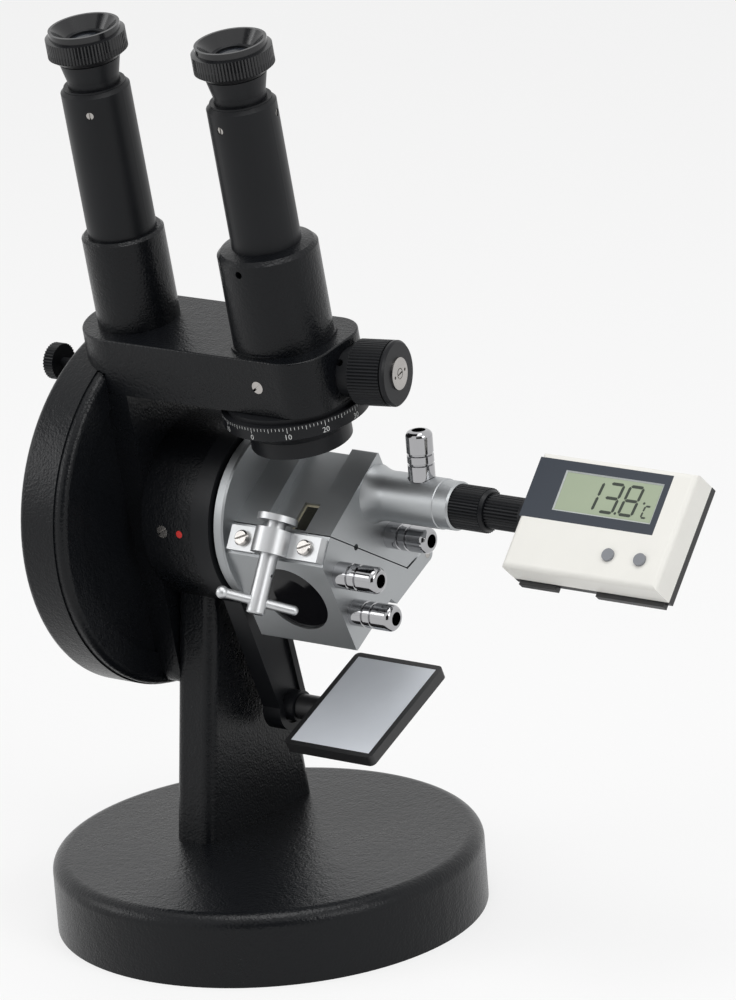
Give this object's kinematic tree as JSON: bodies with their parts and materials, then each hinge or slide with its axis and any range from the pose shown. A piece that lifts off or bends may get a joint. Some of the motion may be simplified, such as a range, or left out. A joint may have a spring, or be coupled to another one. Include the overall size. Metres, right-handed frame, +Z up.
{
  "type": "abbe refractometer",
  "caption": "Bench refractometer with two leaning telescopes, hinged double prism with water jackets and latch, scale drum, mirror and tilting digital thermometer.",
  "frame": {"origin": "centre of the round base's underside", "axes": "+Z up, +X along the main shaft from the scale drum to the prisms and the thermometer, the observer on the -Y side"},
  "size_m": [0.2484, 0.1559, 0.318],
  "materials": {
    "black_enamel": "textured black enamel",
    "black_satin": "smooth satin black",
    "silver": "satin",
    "steel": "ground",
    "chrome": "polished",
    "brass": "machined",
    "optical_glass": "polished",
    "prism_glass": "polished and ground",
    "red_dot": "gloss",
    "black_plastic": "matte",
    "slate_plastic": "satin",
    "white_plastic": "satin",
    "lcd_face": "gloss",
    "grey_plastic": "satin",
    "mirror_face": "polished"
  },
  "bodies": {
    "stand": {"base": "black_enamel", "base_bolts": "steel", "pillar": "black_enamel", "shaft_bushes": "brass", "arm_plate": "black_enamel", "drum_shell": "black_enamel", "drum_cover": "black_enamel", "reading_prism": "optical_glass", "mirror_bracket": "black_satin", "bridge": "black_enamel", "left_sleeve": "black_enamel", "right_sleeve": "black_enamel", "left_tube": "black_satin", "right_tube": "black_satin", "set_screws": "steel", "slotted_screws": "steel", "index_plug": "red_dot", "objective_lens": "optical_glass", "reading_lens": "optical_glass", "knob_collar": "black_satin"},
    "prism_head": {"main_shaft": "steel", "sector_gear": "brass", "scale_disc": "optical_glass", "prism_flange": "silver", "upper_prism_box": "silver", "measuring_prism": "prism_glass", "thermometer_well": "silver", "upper_nozzles": "chrome", "hinge_pin": "steel"},
    "lower_prism": {"lower_prism_box": "silver", "illuminating_prism": "prism_glass", "clamp_bar": "silver", "clamp_screws": "steel", "lower_nozzles": "chrome"},
    "latch": {"latch_spindle": "silver", "latch_crossbar": "silver"},
    "drive": {"drive_knob": "black_satin", "drive_pinion": "brass"},
    "compensator": {"dispersion_ring": "black_satin", "compensator_bowl": "black_satin", "amici_prism": "optical_glass"},
    "compensator_drive": {"compensator_shaft": "steel", "compensator_knob": "black_satin", "knob_end_disc": "steel"},
    "left_eyepiece": {"left_barrel": "black_satin", "left_eye_lens": "optical_glass"},
    "left_focus": {"left_dioptre_ring": "black_satin"},
    "right_eyepiece": {"right_barrel": "black_satin", "right_eye_lens": "optical_glass"},
    "right_focus": {"right_dioptre_ring": "black_satin"},
    "nut": {"clamp_nut": "black_satin"},
    "thermometer": {"probe_stem": "steel", "display_case": "white_plastic", "display_back": "black_plastic", "display_panel": "slate_plastic", "lcd": "lcd_face"},
    "button_left": {"left_button": "grey_plastic"},
    "button_right": {"right_button": "grey_plastic"},
    "mirror": {"mirror_frame": "black_plastic", "mirror_glass": "mirror_face"}
  },
  "joints": [
    {"name": "prism_tilt", "type": "hinge", "parent": "stand", "child": "prism_head", "pos_m": [0, 0.0155, 0.1396], "axis": [1, 0, 0], "range_deg": [-15, 20]},
    {"name": "prism_open", "type": "hinge", "parent": "prism_head", "child": "lower_prism", "pos_m": [0.0246, 0.04436, 0.12178], "axis": [-1, 0, 0], "range_deg": [-36, 0]},
    {"name": "latch_turn", "type": "hinge", "parent": "lower_prism", "child": "latch", "pos_m": [0.0256, -0.01294, 0.14655], "axis": [0, 0.5, 0.866], "range_deg": [0, 180]},
    {"name": "drive_turn", "type": "hinge", "parent": "stand", "child": "drive", "pos_m": [-0.0575, -0.00314, 0.19081], "axis": [1, 0, 0], "range_deg": [-200, 150]},
    {"name": "compensator_turn", "type": "hinge", "parent": "stand", "child": "compensator", "pos_m": [0.0269, 0.00084, 0.1905], "axis": [0, -0.1461, 0.9893], "continuous": true},
    {"name": "compensator_knob_turn", "type": "hinge", "parent": "stand", "child": "compensator_drive", "pos_m": [0.0269, -0.00039, 0.19881], "axis": [0.9863, 0.1633, 0.0241], "continuous": true},
    {"name": "left_focus_turn", "type": "hinge", "parent": "left_eyepiece", "child": "left_focus", "pos_m": [-0.0353, -0.0164, 0.30723], "axis": [0, -0.1461, 0.9893], "range_deg": [-140, 175]},
    {"name": "left_eyepiece_slide", "type": "slide", "parent": "stand", "child": "left_eyepiece", "axis": [0, -0.1461, 0.9893], "range_m": [-0.00194, 0.00243]},
    {"name": "right_focus_turn", "type": "hinge", "parent": "right_eyepiece", "child": "right_focus", "pos_m": [0.0269, -0.0164, 0.30723], "axis": [0, -0.1461, 0.9893], "range_deg": [-140, 175]},
    {"name": "right_eyepiece_slide", "type": "slide", "parent": "stand", "child": "right_eyepiece", "axis": [0, -0.1461, 0.9893], "range_m": [-0.00194, 0.00243]},
    {"name": "nut_turn", "type": "hinge", "parent": "prism_head", "child": "nut", "pos_m": [0.08, 0.01901, 0.15108], "axis": [1, 0, 0], "range_deg": [-180, 180]},
    {"name": "display_turn", "type": "hinge", "parent": "prism_head", "child": "thermometer", "pos_m": [0.1, 0.01901, 0.15108], "axis": [1, 0, 0], "range_deg": [-90, 90]},
    {"name": "left_button_press", "type": "slide", "parent": "thermometer", "child": "button_left", "axis": [0, 0.7385, -0.6743], "range_m": [0, 0.0005], "stiffness_N_per_m": 300},
    {"name": "right_button_press", "type": "slide", "parent": "thermometer", "child": "button_right", "axis": [0, 0.7385, -0.6743], "range_m": [0, 0.0005], "stiffness_N_per_m": 300},
    {"name": "mirror_tilt", "type": "hinge", "parent": "stand", "child": "mirror", "pos_m": [0.003, 0.0215, 0.0675], "axis": [1, 0, 0], "range_deg": [-40, 45]}
  ],
  "couplings": [
    {"joint": "drive_turn", "follows": "prism_tilt", "ratio": -9.9},
    {"joint": "compensator_knob_turn", "follows": "compensator_turn", "ratio": 4},
    {"joint": "left_focus_turn", "follows": "left_eyepiece_slide", "rad_per_m": 1256.3},
    {"joint": "right_focus_turn", "follows": "right_eyepiece_slide", "rad_per_m": 1256.3}
  ]
}
